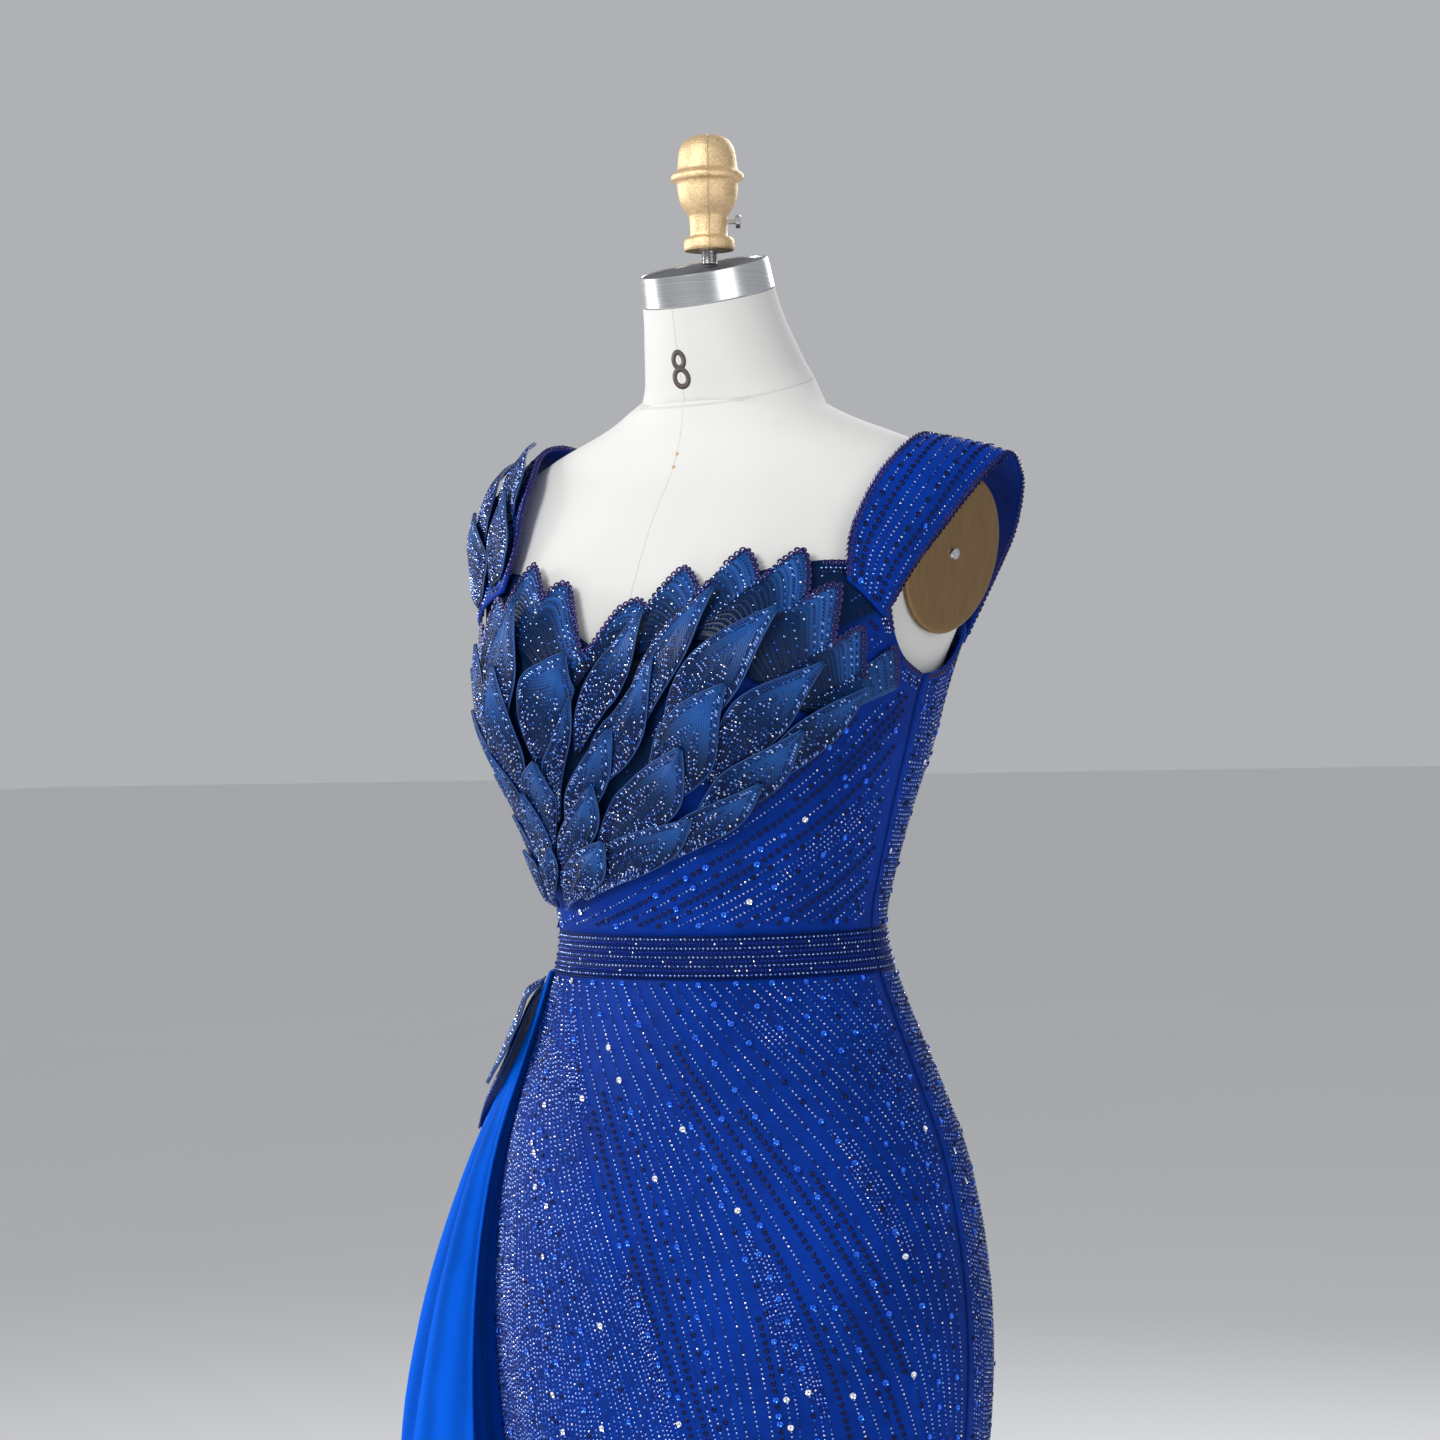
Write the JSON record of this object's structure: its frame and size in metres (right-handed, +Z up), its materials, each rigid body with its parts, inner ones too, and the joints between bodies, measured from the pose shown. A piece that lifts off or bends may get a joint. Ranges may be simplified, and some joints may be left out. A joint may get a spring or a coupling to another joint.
{
  "type": "mermaid gown on a dress form",
  "caption": "Floor-length beaded mermaid gown with feather-shaped applique, belt and side overskirt, worn by a limbless dress form on a pole and round base.",
  "frame": {"origin": "on the floor, at the centre of the stand's base, on the pole's axis", "axes": "+Z up the pole, -Y out of the gown's front, +X to the wearer's left"},
  "size_m": [0.8591, 0.8431, 1.612],
  "materials": {
    "royal_satin": "beaded royal-blue satin and net",
    "beaded_band": "dense rows of navy beads",
    "teal_organza": "sheer organza with corded, beaded edges",
    "cobalt_net": "soft tulle in loose folds",
    "form_linen": "smooth off-white linen over a moulded shell",
    "brushed_steel": "brushed",
    "dark_plate": "satin",
    "gold_paint": "gold paint on a sand casting",
    "bronze_satin": "satin bronze",
    "black_iron": "matte black"
  },
  "bodies": {
    "root": {"bodice_front": "royal_satin", "bodice_back_left": "royal_satin", "bodice_back_right": "royal_satin", "skirt_front": "royal_satin", "skirt_back_left": "royal_satin", "skirt_back_right": "royal_satin", "centre_back_zip": "royal_satin", "waistband_front": "beaded_band", "waistband_back_left": "beaded_band", "waistband_back_right": "beaded_band", "strap_left": "beaded_band", "strap_right": "beaded_band", "feather_edge": "teal_organza", "feather_01": "teal_organza", "feather_02": "teal_organza", "feather_03": "teal_organza", "feather_04": "teal_organza", "feather_05": "teal_organza", "feather_06": "teal_organza", "feather_07": "teal_organza", "feather_08": "teal_organza", "feather_09": "teal_organza", "feather_10": "teal_organza", "feather_11": "teal_organza", "feather_12": "teal_organza", "feather_13": "teal_organza", "feather_14": "teal_organza", "feather_15": "teal_organza", "feather_16": "teal_organza", "feather_17": "teal_organza", "feather_18": "teal_organza", "feather_19": "teal_organza", "feather_20": "teal_organza", "feather_21": "teal_organza", "feather_22": "teal_organza", "feather_23": "teal_organza", "feather_24": "teal_organza", "feather_25": "teal_organza", "feather_26": "teal_organza", "feather_27": "teal_organza", "feather_28": "teal_organza", "feather_29": "teal_organza", "feather_30": "teal_organza", "strap_feather_1": "teal_organza", "strap_feather_2": "teal_organza", "strap_feather_3": "teal_organza", "strap_feather_4": "teal_organza", "hip_feather_1": "teal_organza", "hip_feather_2": "teal_organza", "hip_feather_3": "teal_organza", "side_overskirt": "cobalt_net", "form_torso": "form_linen", "form_neck_band": "brushed_steel", "form_rod": "brushed_steel", "finial_screw": "brushed_steel", "form_neck_plate": "dark_plate", "finial_knob": "gold_paint", "arm_plate_left": "bronze_satin", "arm_plate_right": "bronze_satin", "form_stand": "black_iron"}
  },
  "joints": []
}
